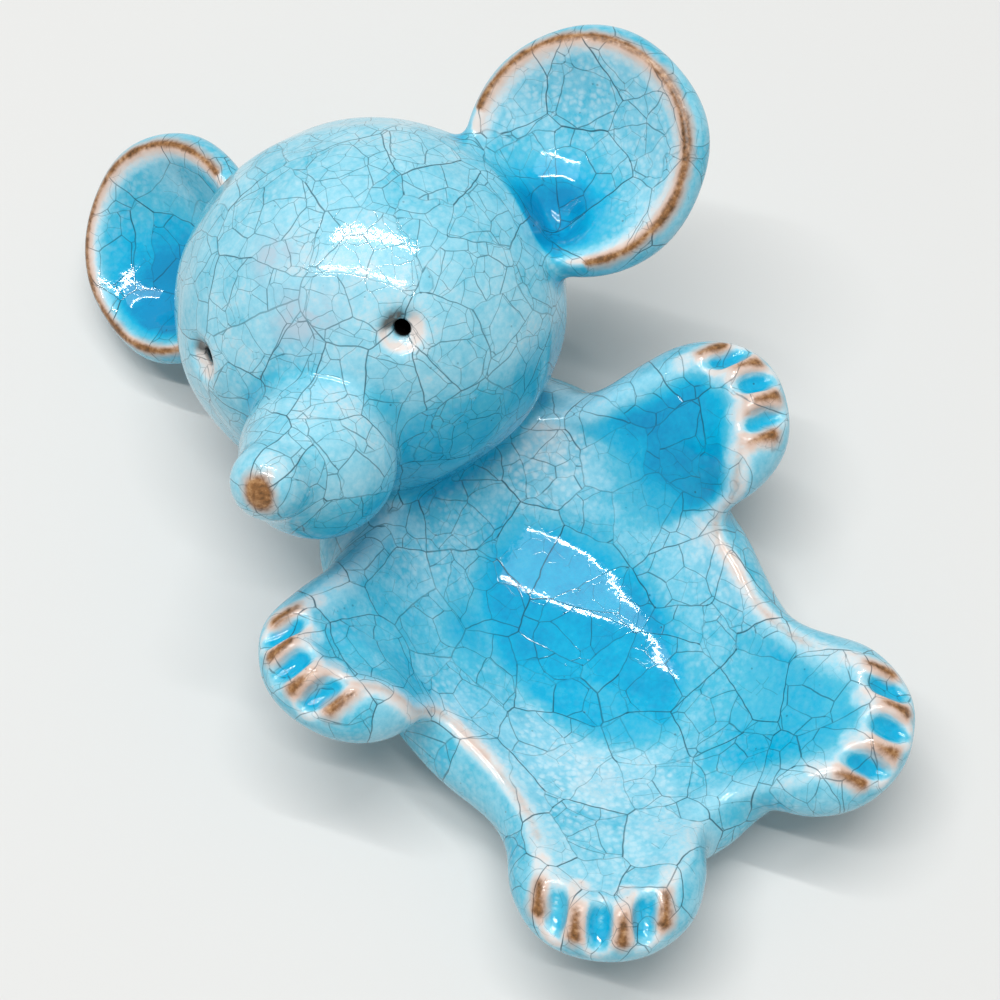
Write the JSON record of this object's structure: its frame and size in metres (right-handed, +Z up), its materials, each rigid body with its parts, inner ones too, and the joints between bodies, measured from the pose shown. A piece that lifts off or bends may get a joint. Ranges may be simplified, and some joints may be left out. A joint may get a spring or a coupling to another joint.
{
  "type": "mouse figurine dish",
  "caption": "Glazed earthenware mouse lying on its back, head turned and ears cupped, with a hollowed belly that serves as a small dish.",
  "frame": {"origin": "middle of the flat foot under the body, on the table", "axes": "+Z up, +Y along the body towards the head, +X to the mouse's left"},
  "size_m": [0.1085, 0.1737, 0.0732],
  "materials": {
    "glaze": "glossy crackle glaze, turquoise, brown where it breaks over edges",
    "bare_clay": "unglazed fired clay, matt"
  },
  "bodies": {
    "root": {"foot": "bare_clay", "body_dish": "glaze", "head": "glaze", "muzzle": "glaze", "left_ear": "glaze", "right_ear": "glaze", "left_arm": "glaze", "right_arm": "glaze", "left_leg": "glaze", "right_leg": "glaze"}
  },
  "joints": []
}
